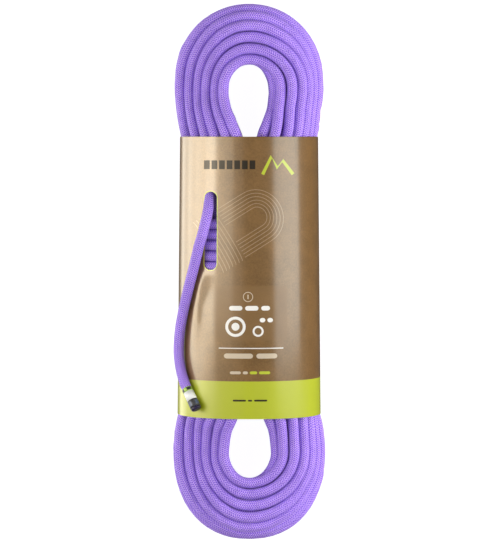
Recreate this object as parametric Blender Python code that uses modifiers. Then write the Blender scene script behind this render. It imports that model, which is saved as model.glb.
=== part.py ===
"""Dynamic climbing rope, wound in a hank and held at its waist by a printed card sleeve.

The hank lies on its back. +Y runs along it towards the upper bight, +X is across it and +Z
points out of the printed front. The origin is at the bottom centre of the whole object.
"""

import math

import bmesh
import bpy
from mathutils import Vector

# Rope
ROPE_DIAMETER = 0.0096
ROPE_RADIUS = ROPE_DIAMETER / 2
CORE_BORE_RADIUS = 0.0037
END_RADIUS = 0.0044
GAP = 0.0003

# Core of the rope: a ring of strands round an inner pair, with the identification tape between
CORE_STRAND_RADIUS = 0.00076
CORE_RING_RADIUS = 0.0027
CORE_RING_COUNT = 9
CORE_PAIR_RADIUS = 0.0007
CORE_PAIR_OFFSET = 0.0010
TAPE_WIDTH = 0.0020
TAPE_THICKNESS = 0.00025

# Hank
AXIS_HEIGHT = 0.058
HANK_CENTRE_DEPTH = 0.050
WAIST_HALF_WIDTH = 0.0525
WAIST_HALF_FRONT = 0.0505
WAIST_HALF_BACK = 0.0455
WAIST_TOP = 0.100
WAIST_BOTTOM = -0.085
UPPER_BIGHT_CENTRE = 0.1756
UPPER_BIGHT_HALF_WIDTH = 0.0687
UPPER_BIGHT_HEIGHT = 0.0726
LOWER_BIGHT_CENTRE = -0.1659
LOWER_BIGHT_HALF_WIDTH = 0.0705
LOWER_BIGHT_HEIGHT = 0.0825
WAIST_ROUNDNESS = 2.2
BIGHT_ROUNDNESS = 3.6

# Eyes of the two bights: half width where widest, height of the round end, length of the taper
UPPER_EYE_WIDEST = 0.1677
UPPER_EYE_HALF_WIDTH = 0.0186
UPPER_EYE_END = 0.0232
UPPER_EYE_TAPER = 0.0610
LOWER_EYE_WIDEST = -0.1624
LOWER_EYE_HALF_WIDTH = 0.0192
LOWER_EYE_END = 0.0257
LOWER_EYE_TAPER = 0.0950
EYE_TAPER_POWER = 1.4

# Wraps of rope round the waist
WRAP_COUNT = 10
WRAPS_TOP = 0.042
WRAPS_BOTTOM = WRAPS_TOP - WRAP_COUNT * 0.0097
WRAPS_HALF_WIDTH = 0.0634
WRAPS_HALF_FRONT = 0.0609
WRAPS_HALF_BACK = 0.0557
WRAPS_THICKNESS = 0.0099

# Card sleeve
CARD_THICKNESS = 0.0006
SLEEVE_TOP = 0.1246
SLEEVE_BOTTOM = -0.1314
SLEEVE_TOP_HALF_WIDTH = 0.0638
SLEEVE_BOTTOM_HALF_WIDTH = 0.0664
SLEEVE_HALF_FRONT = 0.062
SLEEVE_HALF_BACK = AXIS_HEIGHT
FLAP_HALF_WIDTH = 0.010
FLAP_LIFT = 0.0014
FLAP_RAMP = 0.006
GLUE_THICKNESS = 0.0002
SLOT_CENTRE_X = -0.0351
SLOT_TOP = 0.0749
SLOT_LENGTH = 0.0712
SLOT_WIDTH = 0.0113

# Route of the rope from the last wrap, round the waist, out through the slot and down the front
LEAD_ROUTE = [
    (-0.0583, 0.0505, 0.0580),
    (-0.0562, 0.0515, 0.0400),
    (-0.0490, 0.0530, 0.0245),
    (-0.0384, 0.0548, 0.0133),
    (-0.0265, 0.0570, 0.0076),
    (-0.0110, 0.0592, 0.0072),
    (0.0050, 0.0613, 0.0072),
    (0.0235, 0.0640, 0.0073),
    (0.0352, 0.0663, 0.0113),
    (0.0458, 0.0688, 0.0204),
    (0.0541, 0.0716, 0.0340),
    (0.0578, 0.0744, 0.0496),
    (0.0580, 0.0775, 0.0660),
    (0.0540, 0.0812, 0.0822),
    (0.0460, 0.0853, 0.0955),
    (0.0340, 0.0893, 0.1056),
    (0.0200, 0.0930, 0.1117),
    (0.0050, 0.0958, 0.1141),
    (-0.0090, 0.0965, 0.1138),
    (-0.0215, 0.0940, 0.1110),
    (-0.0305, 0.0875, 0.1072),
    (-0.0350, 0.0785, 0.1023),
    (-0.0356, 0.0700, 0.1071),
    (-0.0367, 0.0600, 0.1131),
    (-0.0386, 0.0505, 0.1164),
    (-0.0408, 0.0420, 0.1155),
]
TAIL_ROUTE = [
    (-0.0430, 0.0330, 0.1138),
    (-0.0462, 0.0230, 0.1116),
    (-0.0493, 0.0090, 0.1090),
    (-0.0533, -0.0063, 0.1052),
    (-0.0587, -0.0280, 0.0988),
    (-0.0625, -0.0470, 0.0930),
    (-0.0642, -0.0630, 0.0901),
    (-0.0643, -0.0755, 0.0901),
    (-0.0624, -0.0889, 0.0939),
    (-0.0586, -0.1012, 0.0998),
]
TAIL_TIP = Vector((-0.0485, -0.1218, 0.1108))
MARKER_LENGTH = 0.021
TUBE_SPACING = 0.012
LEAD_SPACING = 0.012

# Marker on each end of the rope
LABEL_INNER_RADIUS = 0.00455
LABEL_THICKNESS = 0.00018
SHRINK_INNER_RADIUS = 0.00488
SHRINK_THICKNESS = 0.00025
SEAL_RADIUS = 0.0046
SEAL_LENGTH = 0.0020

# The other end of the rope lies in a pocket in the middle of the hank, open to the lower eye
INNER_POCKET_RADIUS = 0.0058
INNER_POCKET_END = -0.075
INNER_POCKET_MOUTH = -0.145
INNER_END_TIP = -0.105


def clear_scene():
    for item in list(bpy.data.objects):
        bpy.data.objects.remove(item)


def material(name, colour, roughness, metallic=0.0, alpha=1.0):
    """A Principled material of one colour."""
    made = bpy.data.materials.new(name)
    made.use_nodes = True
    shader = made.node_tree.nodes["Principled BSDF"]
    shader.inputs["Base Color"].default_value = (*colour, 1.0)
    shader.inputs["Roughness"].default_value = roughness
    shader.inputs["Metallic"].default_value = metallic
    shader.inputs["Alpha"].default_value = alpha
    return made


def add_object(name, data, collection, surface=None):
    piece = bpy.data.objects.new(name, data)
    collection.objects.link(piece)
    if surface:
        piece.data.materials.append(surface)
    return piece


def add_mesh(name, builder, collection, surface=None):
    """Turn a bmesh into a named, smooth-shaded object."""
    mesh = bpy.data.meshes.new(name)
    builder.to_mesh(mesh)
    builder.free()
    mesh.shade_smooth()
    mesh.set_sharp_from_angle(angle=math.radians(40))
    return add_object(name, mesh, collection, surface)


def smooth_step(value, low, high):
    share = min(1.0, max(0.0, (value - low) / (high - low)))
    return share * share * (3 - 2 * share)


def mix(first, second, share):
    return first + (second - first) * share


def signed_power(value, power):
    return math.copysign(abs(value) ** power, value)


def oval_point(angle, half_width, half_front, half_back, roundness):
    """A point (x, z) on a superellipse about the hank's axis, with its back cut flat."""
    across = half_width * signed_power(math.cos(angle), 2 / roundness)
    height = half_front * signed_power(math.sin(angle), 2 / roundness)
    return across, AXIS_HEIGHT + max(height, -half_back)


def oval_ring(y, half_width, half_front, half_back, roundness, count):
    ring = []
    for step in range(count):
        across, height = oval_point(2 * math.pi * step / count, half_width, half_front, half_back, roundness)
        ring.append(Vector((across, y, height)))
    return ring


def loft(rings, closed_ends=True, joined=True):
    """Join rings of equal counts by quads. A ring is a closed loop if joined, else an open line."""
    builder = bmesh.new()
    rows = [[builder.verts.new(point) for point in ring] for ring in rings]
    count = len(rows[0])
    for lower, upper in zip(rows, rows[1:]):
        for step in range(count if joined else count - 1):
            following = (step + 1) % count
            builder.faces.new((lower[step], lower[following], upper[following], upper[step]))
    if closed_ends:
        builder.faces.new(rows[0])
        builder.faces.new(rows[-1])
        bmesh.ops.recalc_face_normals(builder, faces=builder.faces[:])
    return builder


def cut(piece, cutters):
    """Subtract each cutter from a piece."""
    for cutter in cutters:
        boolean = piece.modifiers.new("cut", "BOOLEAN")
        boolean.operation = "DIFFERENCE"
        boolean.object = cutter


def hide_cutter(cutter):
    cutter.hide_render = True
    cutter.display_type = "WIRE"
    return cutter


# Curves ---------------------------------------------------------------------------------------


def smooth_route(points, spacing):
    """Points at an even spacing on a smooth curve through the route's points."""
    route = [Vector(point) for point in points]
    padded = [2 * route[0] - route[1]] + route + [2 * route[-1] - route[-2]]
    fine = []
    steps = 24
    for before, start, end, after in zip(padded, padded[1:], padded[2:], padded[3:]):
        for step in range(steps):
            t = step / steps
            fine.append(0.5 * (
                2 * start
                + (end - before) * t
                + (2 * before - 5 * start + 4 * end - after) * t * t
                + (3 * start - before - 3 * end + after) * t ** 3
            ))
    fine.append(route[-1])
    lengths = [0.0]
    for first, second in zip(fine, fine[1:]):
        lengths.append(lengths[-1] + (second - first).length)
    count = max(2, round(lengths[-1] / spacing))
    even = []
    place = 0
    for step in range(count + 1):
        wanted = lengths[-1] * step / count
        while place < len(fine) - 2 and lengths[place + 1] < wanted:
            place += 1
        share = (wanted - lengths[place]) / (lengths[place + 1] - lengths[place])
        even.append(fine[place].lerp(fine[place + 1], share))
    return even


def lengthened(points, start, end):
    """A path made longer, or shorter, at each end along its own direction."""
    first = points[0] + (points[0] - points[1]).normalized() * start
    last = points[-1] + (points[-1] - points[-2]).normalized() * end
    return [first] + points[1:-1] + [last]


def across_frames(points):
    """Two directions across the path at each point, carried along without twist."""
    frames = []
    side = Vector((1, 0, 0))
    for place, point in enumerate(points):
        before = points[max(place - 1, 0)]
        after = points[min(place + 1, len(points) - 1)]
        along = (after - before).normalized()
        side = (side - along * side.dot(along)).normalized()
        frames.append((side.copy(), along.cross(side)))
    return frames


def offset_path(points, frames, right, up):
    return [point + side * right + rise * up for point, (side, rise) in zip(points, frames)]


def tube(name, points, radius, collection, surface=None, resolution=4, end_shares=None):
    """A round solid tube along points. end_shares gives the last points' share of the radius."""
    curve = bpy.data.curves.new(name, "CURVE")
    curve.dimensions = "3D"
    curve.bevel_depth = radius
    curve.bevel_resolution = resolution
    curve.use_fill_caps = True
    spline = curve.splines.new("POLY")
    spline.points.add(len(points) - 1)
    for target, point in zip(spline.points, points):
        target.co = (*point, 1.0)
    for target, share in zip(reversed(spline.points), reversed(end_shares or [])):
        target.radius = share
    return add_object(name, curve, collection, surface)


def as_mesh(piece, collection):
    """Make a curve tube a mesh with welded caps, so that it can be cut or cut others."""
    evaluated = piece.evaluated_get(bpy.context.evaluated_depsgraph_get())
    mesh = bpy.data.meshes.new_from_object(evaluated)
    builder = bmesh.new()
    builder.from_mesh(mesh)
    bmesh.ops.remove_doubles(builder, verts=builder.verts[:], dist=0.00001)
    builder.to_mesh(mesh)
    builder.free()
    name = piece.name
    place = piece.matrix_world.copy()
    bpy.data.objects.remove(piece)
    made = add_object(name, mesh, collection)
    made.matrix_world = place
    return made


def turned(name, length, radius, start, direction, collection, surface=None, open_ended=False):
    """A cylinder, or an open cylindrical skin, from a start point along a direction."""
    builder = bmesh.new()
    bmesh.ops.create_cone(
        builder, cap_ends=not open_ended, segments=24, radius1=radius, radius2=radius, depth=length
    )
    piece = add_mesh(name, builder, collection, surface)
    piece.location = start + direction * (length / 2)
    piece.rotation_mode = "QUATERNION"
    piece.rotation_quaternion = Vector((0, 0, 1)).rotation_difference(direction)
    return piece


def band(name, length, radius, thickness, start, direction, collection, surface):
    """A thin round band, thickened outwards from its inner radius."""
    piece = turned(name, length, radius, start, direction, collection, surface, open_ended=True)
    shell = piece.modifiers.new("wall", "SOLIDIFY")
    shell.thickness = thickness
    shell.offset = 1.0
    return piece


# Hank -----------------------------------------------------------------------------------------


def hank_ring(y, half_width, bight_share, end_share=1.0):
    """One cross-section of the hank: round at the waist, squarer in the bights."""
    front = mix(WAIST_HALF_FRONT, HANK_CENTRE_DEPTH, bight_share) * end_share
    back = mix(WAIST_HALF_BACK, HANK_CENTRE_DEPTH, bight_share) * end_share
    roundness = mix(WAIST_ROUNDNESS, BIGHT_ROUNDNESS, bight_share)
    return oval_ring(y, half_width, front, back, roundness, 32)


def bight_rings(centre, half_width, height):
    """Cross-sections of one bight, from its widest place out to its end."""
    rings = []
    for degrees in (0, 18, 34, 48, 60, 70, 78, 86):
        angle = math.radians(degrees)
        width = half_width * math.cos(angle)
        end_share = math.cos(angle) ** 0.18
        rings.append(hank_ring(centre + height * math.sin(angle), width, 1.0, end_share))
    return rings


def flank_rings(waist, centre, half_width):
    """Cross-sections between the waist's end and a bight's widest place."""
    rings = []
    for step in range(6):
        share = step / 6
        y = mix(waist, centre, share)
        eased = smooth_step(share, 0, 1)
        rings.append(hank_ring(y, mix(WAIST_HALF_WIDTH, half_width, eased), eased))
    return rings


def eye_outline(widest, half_width, end, taper, up):
    """Outline of a bight's eye: a round end and sides that draw in to a point."""
    right = []
    for step in range(9):
        angle = math.radians(90 - 10 * step)
        right.append((half_width * math.cos(angle), widest + up * end * math.sin(angle)))
    for step in range(9):
        share = 1 - step / 9
        width = half_width * math.sin(math.pi / 2 * share) ** EYE_TAPER_POWER
        right.append((width, widest - up * taper * (1 - share)))
    tip = [(0.0, widest - up * taper)]
    left = [(-x, y) for x, y in reversed(right[1:])]
    return right + tip + left


def prism(name, outline, low, high, collection):
    """A flat outline carried from one height to another."""
    rings = [[Vector((x, y, height)) for x, y in outline] for height in (low, high)]
    return add_mesh(name, loft(rings), collection)


def hank_body(collection, cutters, surface):
    lower = bight_rings(LOWER_BIGHT_CENTRE, LOWER_BIGHT_HALF_WIDTH, -LOWER_BIGHT_HEIGHT)
    lower_flank = flank_rings(WAIST_BOTTOM, LOWER_BIGHT_CENTRE, LOWER_BIGHT_HALF_WIDTH)
    upper_flank = flank_rings(WAIST_TOP, UPPER_BIGHT_CENTRE, UPPER_BIGHT_HALF_WIDTH)
    upper = bight_rings(UPPER_BIGHT_CENTRE, UPPER_BIGHT_HALF_WIDTH, UPPER_BIGHT_HEIGHT)
    rings = lower[::-1] + lower_flank[::-1] + upper_flank + upper
    piece = add_mesh("hank_body", loft(rings), collection, surface)
    upper_outline = eye_outline(
        UPPER_EYE_WIDEST, UPPER_EYE_HALF_WIDTH, UPPER_EYE_END, UPPER_EYE_TAPER, 1
    )
    lower_outline = eye_outline(
        LOWER_EYE_WIDEST, LOWER_EYE_HALF_WIDTH, LOWER_EYE_END, LOWER_EYE_TAPER, -1
    )
    pocket = turned(
        "inner_end_pocket_cutter",
        INNER_POCKET_END - INNER_POCKET_MOUTH,
        INNER_POCKET_RADIUS,
        Vector((0, INNER_POCKET_END, AXIS_HEIGHT)),
        Vector((0, -1, 0)),
        cutters,
    )
    reach = 2 * HANK_CENTRE_DEPTH
    eyes = [
        prism("upper_eye_cutter", upper_outline, AXIS_HEIGHT - reach, AXIS_HEIGHT + reach, cutters),
        prism("lower_eye_cutter", lower_outline, AXIS_HEIGHT - reach, AXIS_HEIGHT + reach, cutters),
    ]
    cut(piece, [hide_cutter(tool) for tool in eyes + [pocket]])
    return piece


def waist_wraps(collection, cutters, surface):
    """The wraps round the waist, as one plain collar."""
    outer = [
        oval_ring(y, WRAPS_HALF_WIDTH, WRAPS_HALF_FRONT, WRAPS_HALF_BACK, WAIST_ROUNDNESS, 48)
        for y in (WRAPS_BOTTOM, WRAPS_TOP)
    ]
    piece = add_mesh("waist_wraps", loft(outer), collection, surface)
    bore = [
        oval_ring(
            y,
            WRAPS_HALF_WIDTH - WRAPS_THICKNESS,
            WRAPS_HALF_FRONT - WRAPS_THICKNESS,
            WRAPS_HALF_BACK - WRAPS_THICKNESS,
            WAIST_ROUNDNESS,
            48,
        )
        for y in (WRAPS_BOTTOM - ROPE_RADIUS, WRAPS_TOP + ROPE_RADIUS)
    ]
    cut(piece, [hide_cutter(add_mesh("wraps_bore_cutter", loft(bore), cutters))])
    return piece


# Free end -------------------------------------------------------------------------------------


def tail_paths():
    """Centrelines of the hidden lead, of the visible tail, and the tail's end direction."""
    direction = (TAIL_TIP - Vector(TAIL_ROUTE[-1])).normalized()
    split = Vector(LEAD_ROUTE[-1])
    along = (Vector(TAIL_ROUTE[0]) - Vector(LEAD_ROUTE[-2])).normalized()
    lead = smooth_route(LEAD_ROUTE, LEAD_SPACING)
    lead = lead[:-1] + [split - along * ROPE_RADIUS / 2, split - along * GAP / 2]
    tail = smooth_route(LEAD_ROUTE[-1:] + TAIL_ROUTE, TUBE_SPACING)
    tail = [split + along * GAP / 2, split + along * ROPE_RADIUS / 2] + tail[1:]
    taper_end = tail[-1] + direction * ROPE_RADIUS / 2
    tail = tail + [taper_end, taper_end + direction * MARKER_LENGTH]
    return lead, tail, direction


def tail_sheath(path, collection, cutters, surface):
    """The sheath: a tube whose end is drawn in a little under its marker."""
    end_share = END_RADIUS / ROPE_RADIUS
    outer = tube("tail_sheath", path, ROPE_RADIUS, collection, None, 4, [end_share, end_share])
    piece = as_mesh(outer, collection)
    piece.data.materials.append(surface)
    long_path = lengthened(path, ROPE_RADIUS, ROPE_RADIUS)
    bore = as_mesh(tube("sheath_bore_cutter", long_path, CORE_BORE_RADIUS, cutters), cutters)
    cut(piece, [hide_cutter(bore)])
    return piece


def core_strands(path, collection, surface):
    frames = across_frames(path)
    for number in range(CORE_RING_COUNT):
        angle = 2 * math.pi * number / CORE_RING_COUNT
        right = CORE_RING_RADIUS * math.cos(angle)
        up = CORE_RING_RADIUS * math.sin(angle)
        line = offset_path(path, frames, right, up)
        tube(f"core_strand_{number + 1:02d}", line, CORE_STRAND_RADIUS, collection, surface, 2)
    for number, side in enumerate((-1, 1)):
        line = offset_path(path, frames, 0.0, side * CORE_PAIR_OFFSET)
        name = f"core_strand_{CORE_RING_COUNT + number + 1:02d}"
        tube(name, line, CORE_PAIR_RADIUS, collection, surface, 2)


def identification_tape(path, collection, surface):
    """The flat tape that lies between the two inner core strands."""
    frames = across_frames(path)
    corners = [(-1, -1), (1, -1), (1, 1), (-1, 1)]
    lines = [
        offset_path(path, frames, right * TAPE_WIDTH / 2, up * TAPE_THICKNESS / 2)
        for right, up in corners
    ]
    return add_mesh("core_identification_tape", loft(list(zip(*lines))), collection, surface)


def end_marker(prefix, tip, direction, collection, surfaces):
    """Melted seal, printed label and clear shrink tube on an end whose rope stops at tip."""
    start = tip - direction * (MARKER_LENGTH - GAP)
    length = MARKER_LENGTH - 2 * GAP
    band(
        f"{prefix}_label", length, LABEL_INNER_RADIUS, LABEL_THICKNESS, start, direction,
        collection, surfaces["label"],
    )
    band(
        f"{prefix}_shrink_tube", length, SHRINK_INNER_RADIUS, SHRINK_THICKNESS, start, direction,
        collection, surfaces["shrink"],
    )
    turned(
        f"{prefix}_seal", SEAL_LENGTH, SEAL_RADIUS, tip + direction * GAP, direction,
        collection, surfaces["seal"],
    )


def inner_end(collection, surfaces):
    """The rope's other end, in the pocket in the middle of the hank."""
    start = Vector((0, INNER_POCKET_END - GAP, AXIS_HEIGHT))
    tip = Vector((0, INNER_END_TIP, AXIS_HEIGHT))
    tube("inner_end_rope", [start, tip], END_RADIUS, collection, surfaces["rope"])
    end_marker("inner_end", tip, Vector((0, -1, 0)), collection, surfaces)


# Card sleeve ----------------------------------------------------------------------------------


def card_line(y):
    """Outer line of the wrapped card at one place, from its inner flap round to its outer one."""
    drop = (SLEEVE_TOP - y) / (SLEEVE_TOP - SLEEVE_BOTTOM)
    half_width = mix(SLEEVE_TOP_HALF_WIDTH, SLEEVE_BOTTOM_HALF_WIDTH, drop)
    flat_angle = math.asin((SLEEVE_HALF_BACK / SLEEVE_HALF_FRONT) ** (WAIST_ROUNDNESS / 2))
    flat_height = AXIS_HEIGHT - SLEEVE_HALF_BACK
    line = [
        Vector((-FLAP_HALF_WIDTH, y, flat_height + FLAP_LIFT)),
        Vector((FLAP_HALF_WIDTH, y, flat_height + FLAP_LIFT)),
        Vector((FLAP_HALF_WIDTH + FLAP_RAMP, y, flat_height)),
    ]
    steps = 56
    for step in range(steps + 1):
        angle = mix(-flat_angle, math.pi + flat_angle, step / steps)
        across, height = oval_point(
            angle, half_width, SLEEVE_HALF_FRONT, SLEEVE_HALF_BACK, WAIST_ROUNDNESS
        )
        line.append(Vector((across, y, height)))
    line.append(Vector((FLAP_HALF_WIDTH - 0.002, y, flat_height)))
    return line


def slot_cutter(collection):
    """A stadium-shaped prism that stands through the card's front."""
    builder = bmesh.new()
    bmesh.ops.create_circle(builder, cap_ends=True, segments=24, radius=SLOT_WIDTH / 2)
    half_run = (SLOT_LENGTH - SLOT_WIDTH) / 2
    half_segment = math.pi / 24
    for vertex in builder.verts:
        turned_by = math.atan2(vertex.co.y, vertex.co.x) + half_segment
        vertex.co.x = SLOT_WIDTH / 2 * math.cos(turned_by)
        vertex.co.y = SLOT_WIDTH / 2 * math.sin(turned_by)
        vertex.co.y += math.copysign(half_run, vertex.co.y)
    raised = bmesh.ops.extrude_face_region(builder, geom=builder.faces[:])
    top = [item for item in raised["geom"] if isinstance(item, bmesh.types.BMVert)]
    bmesh.ops.translate(builder, verts=top, vec=(0, 0, SLEEVE_HALF_FRONT))
    bmesh.ops.recalc_face_normals(builder, faces=builder.faces[:])
    cutter = add_mesh("slot_cutter", builder, collection)
    cutter.location = (SLOT_CENTRE_X, SLOT_TOP - SLOT_LENGTH / 2, AXIS_HEIGHT + ROPE_DIAMETER)
    return hide_cutter(cutter)


def card_sleeve(collection, cutters, surface):
    lines = [card_line(SLEEVE_TOP), card_line(SLEEVE_BOTTOM)]
    piece = add_mesh("card_sleeve", loft(lines, closed_ends=False, joined=False), collection, surface)
    shell = piece.modifiers.new("card", "SOLIDIFY")
    shell.thickness = CARD_THICKNESS
    shell.offset = -1.0
    cut(piece, [slot_cutter(cutters)])
    return piece


def glue_strip(collection, surface):
    """The strip of glue between the card's two flaps at the back."""
    builder = bmesh.new()
    bmesh.ops.create_cube(builder, size=1.0)
    length = SLEEVE_TOP - SLEEVE_BOTTOM - ROPE_DIAMETER
    bmesh.ops.scale(builder, verts=builder.verts[:], vec=(FLAP_HALF_WIDTH, length, GLUE_THICKNESS))
    piece = add_mesh("sleeve_glue_strip", builder, collection, surface)
    middle = (CARD_THICKNESS + FLAP_LIFT) / 2
    piece.location = (0, (SLEEVE_TOP + SLEEVE_BOTTOM) / 2, middle)
    return piece


# Assembly -------------------------------------------------------------------------------------


def build():
    clear_scene()
    parts = bpy.data.collections.new("climbing_rope")
    cutters = bpy.data.collections.new("cutters")
    bpy.context.scene.collection.children.link(parts)
    bpy.context.scene.collection.children.link(cutters)
    surfaces = {
        "rope": material("rope_sheath", (0.30, 0.17, 0.72), 0.75),
        "core": material("rope_core", (0.85, 0.85, 0.83), 0.8),
        "tape": material("identification_tape", (0.92, 0.90, 0.80), 0.4),
        "label": material("printed_label", (0.90, 0.90, 0.88), 0.45),
        "shrink": material("clear_shrink_tube", (0.95, 0.95, 0.95), 0.15, alpha=0.3),
        "seal": material("melted_seal", (0.05, 0.04, 0.07), 0.35),
        "card": material("kraft_card", (0.36, 0.23, 0.12), 0.3),
        "glue": material("glue", (0.85, 0.80, 0.65), 0.3),
    }
    lead, tail, direction = tail_paths()
    hank_body(parts, cutters, surfaces["rope"])
    waist_wraps(parts, cutters, surfaces["rope"])
    tube("tail_lead", lead, ROPE_RADIUS, parts, surfaces["rope"])
    tail_sheath(tail, parts, cutters, surfaces["rope"])
    core_strands(tail, parts, surfaces["core"])
    identification_tape(tail, parts, surfaces["tape"])
    end_marker("tail_end", tail[-1], direction, parts, surfaces)
    inner_end(parts, surfaces)
    card_sleeve(parts, cutters, surfaces["card"])
    glue_strip(parts, surfaces["glue"])


build()
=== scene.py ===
"""Dynamic climbing rope in its sales hank: the finished look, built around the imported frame."""

import math

import bmesh
import bpy
import numpy as np
from mathutils import Matrix, Vector
from mathutils.geometry import delaunay_2d_cdt


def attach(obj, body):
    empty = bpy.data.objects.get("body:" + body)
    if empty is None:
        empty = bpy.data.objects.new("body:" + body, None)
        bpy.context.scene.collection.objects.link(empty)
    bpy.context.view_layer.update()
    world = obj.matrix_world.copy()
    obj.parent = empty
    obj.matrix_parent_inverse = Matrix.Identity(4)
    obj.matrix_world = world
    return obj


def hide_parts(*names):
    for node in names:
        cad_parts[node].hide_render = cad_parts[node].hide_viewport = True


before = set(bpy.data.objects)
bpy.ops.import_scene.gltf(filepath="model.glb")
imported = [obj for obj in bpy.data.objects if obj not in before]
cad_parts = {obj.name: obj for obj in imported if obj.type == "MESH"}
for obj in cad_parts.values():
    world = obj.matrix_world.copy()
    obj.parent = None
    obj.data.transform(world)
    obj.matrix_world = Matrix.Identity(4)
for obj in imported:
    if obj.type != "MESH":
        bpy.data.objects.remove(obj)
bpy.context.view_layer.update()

MM = 0.001

# ---- Sizes, in metres unless a name says otherwise

ROPE_DIAMETER = 0.0096
ROPE_RADIUS = ROPE_DIAMETER / 2
CORE_STRANDS = 11

AXIS_HEIGHT = 0.058
ROUNDNESS = 2.2
UPPER_BIGHT_Y = 0.1756
LOWER_BIGHT_Y = -0.1659

SLEEVE_TOP = 0.1246
SLEEVE_BOTTOM = -0.1314
SLEEVE_TOP_HALF_WIDTH = 0.0638
SLEEVE_BOTTOM_HALF_WIDTH = 0.0664
SLEEVE_HALF_FRONT = 0.062
CARD_THICKNESS = 0.0006
LIME_BAND_TOP = -0.0971

SLOT_X = -0.0351
SLOT_TOP = 0.0749
SLOT_WIDTH = 0.0113
SLOT_LENGTH = 0.0712
SLOT_Y = SLOT_TOP - SLOT_LENGTH / 2
SLOT_RIM_MM = 1.5

# The soft crease below the slot: y and place across, from its lower end up
CREASE = ((-0.0730, -0.0498), (-0.0535, -0.0472), (-0.0295, -0.0457), (-0.0015, -0.0389))
CREASE_HALF_WIDTH = 0.0055
CREASE_TILT = 0.38

# Plait of the rope's sheath, and where its tube needs a ring
BRAID_COLUMNS = 14
BRAID_PITCH = 0.0020
ROPE_SIDES = 12
LINE_SPACING = 0.0012
RING_TURN = math.radians(6.5)
SHORTEST_RING_GAP = 0.0022
LONGEST_RING_GAP = 0.016

# A finished end: the rope is thinner under its marker. Bands are (name, from, to) along the marker,
# marks are (from, to, how many round it, finish), the melted end is (place past the tip, radius).
END_RADIUS = 0.0044
END_LENGTH = 0.0215
MARKER_LENGTH = 0.0207
BANDS = (("green_band", 0.0, 0.0040), ("white_band", 0.0040, 0.0128), ("black_band", 0.0128, 0.0204))
MARKS = ((0.0006, 0.0033, 4, "black_band"), (0.0143, 0.0188, 3, "navy_marks"))
MELTED_END = (
    (-0.0006, 0.0043),
    (0.0003, 0.0045),
    (0.0009, 0.0046),
    (0.0015, 0.0043),
    (0.0020, 0.0036),
    (0.0022, 0.0022),
)
BAND_RADIUS = 0.00473
MARK_RADIUS = 0.00479
CLEAR_SLEEVE_RADIUS = 0.00508

# Route of the rope at its start, inside the waist, and from the last turn to the wraps
INNER_ROUTE = [
    (0.0, -0.105, 0.058),
    (0.0, -0.090, 0.058),
    (0.0, -0.075, 0.058),
    (-0.002, -0.058, 0.052),
]
CROSSING_ROUTE = [
    (-0.0562, -0.1120, 0.0780),
    (-0.0570, -0.0930, 0.0762),
    (-0.0580, -0.0760, 0.0735),
    (-0.0586, -0.0620, 0.0690),
]
# Route of the rope from the last wrap, round the waist, out through the slot and down the front
LEAD_ROUTE = [
    (-0.0583, 0.0505, 0.0580),
    (-0.0562, 0.0515, 0.0400),
    (-0.0490, 0.0530, 0.0245),
    (-0.0384, 0.0548, 0.0133),
    (-0.0265, 0.0570, 0.0076),
    (-0.0110, 0.0592, 0.0072),
    (0.0050, 0.0613, 0.0072),
    (0.0235, 0.0640, 0.0073),
    (0.0352, 0.0663, 0.0113),
    (0.0458, 0.0688, 0.0204),
    (0.0541, 0.0716, 0.0340),
    (0.0578, 0.0744, 0.0496),
    (0.0580, 0.0775, 0.0660),
    (0.0540, 0.0812, 0.0822),
    (0.0460, 0.0853, 0.0955),
    (0.0340, 0.0893, 0.1056),
    (0.0200, 0.0930, 0.1117),
    (0.0050, 0.0958, 0.1141),
    (-0.0090, 0.0965, 0.1138),
    (-0.0215, 0.0940, 0.1110),
    (-0.0305, 0.0875, 0.1072),
    (-0.0350, 0.0785, 0.1023),
    (-0.0356, 0.0700, 0.1071),
    (-0.0367, 0.0600, 0.1131),
    (-0.0386, 0.0505, 0.1164),
    (-0.0408, 0.0420, 0.1155),
]
TAIL_ROUTE = [
    (-0.0430, 0.0330, 0.1138),
    (-0.0462, 0.0230, 0.1116),
    (-0.0493, 0.0090, 0.1090),
    (-0.0533, -0.0063, 0.1052),
    (-0.0587, -0.0280, 0.0988),
    (-0.0625, -0.0470, 0.0930),
    (-0.0642, -0.0630, 0.0901),
    (-0.0643, -0.0755, 0.0901),
    (-0.0624, -0.0889, 0.0939),
    (-0.0586, -0.1012, 0.0998),
]
TAIL_TIP = (-0.0485, -0.1218, 0.1108)

# Winding. Six strands lie side by side in a row, and the rows lie one behind another. Turns are packed
# from CLOSEST_MM up to LOOSEST_MM apart, and smoothed along the rope for the first steps.
STRANDS_IN_ROW = 6
FULL_ROWS = 9
BACK_ROW = (3, 2, 1)
CLOSEST_MM = 9.35
LOOSEST_MM = 10.6
PACKING_STEPS = 420
SMOOTHED_STEPS = 380

# The front row at each key section, in mm: distance from the hank's middle line (in a bight,
# from the bight's centre) and drop below the front, from the innermost strand to the outermost.
BIGHT_FRONT_MM = 103.2
LEFT_UPPER = ((22.4, 0.0), (29.7, 6.1), (38.4, 10.3), (45.9, 16.4), (54.4, 21.0), (62.9, 25.5))
LEFT_UPPER_WIDEST = ((23.3, 0.0), (30.5, 6.1), (38.9, 10.3), (46.2, 16.4), (54.5, 21.0), (62.9, 25.5))
LEFT_UPPER_NECK = ((21.3, -5.4), (28.9, -1.1), (37.9, 3.0), (45.2, 8.8), (53.5, 15.8), (61.0, 27.0))
LEFT_LOWER = ((23.0, 0.0), (30.3, 6.1), (38.9, 10.2), (46.3, 16.3), (55.2, 19.7), (64.0, 23.6))
LEFT_LOWER_NECK = ((20.0, -5.4), (27.9, -1.1), (37.6, 3.0), (45.4, 8.8), (54.1, 15.8), (62.2, 27.0))
RIGHT_UPPER = ((27.9, 0.0), (38.6, 0.0), (47.6, 3.8), (53.3, 11.5), (57.8, 19.9), (62.2, 28.3))
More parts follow.
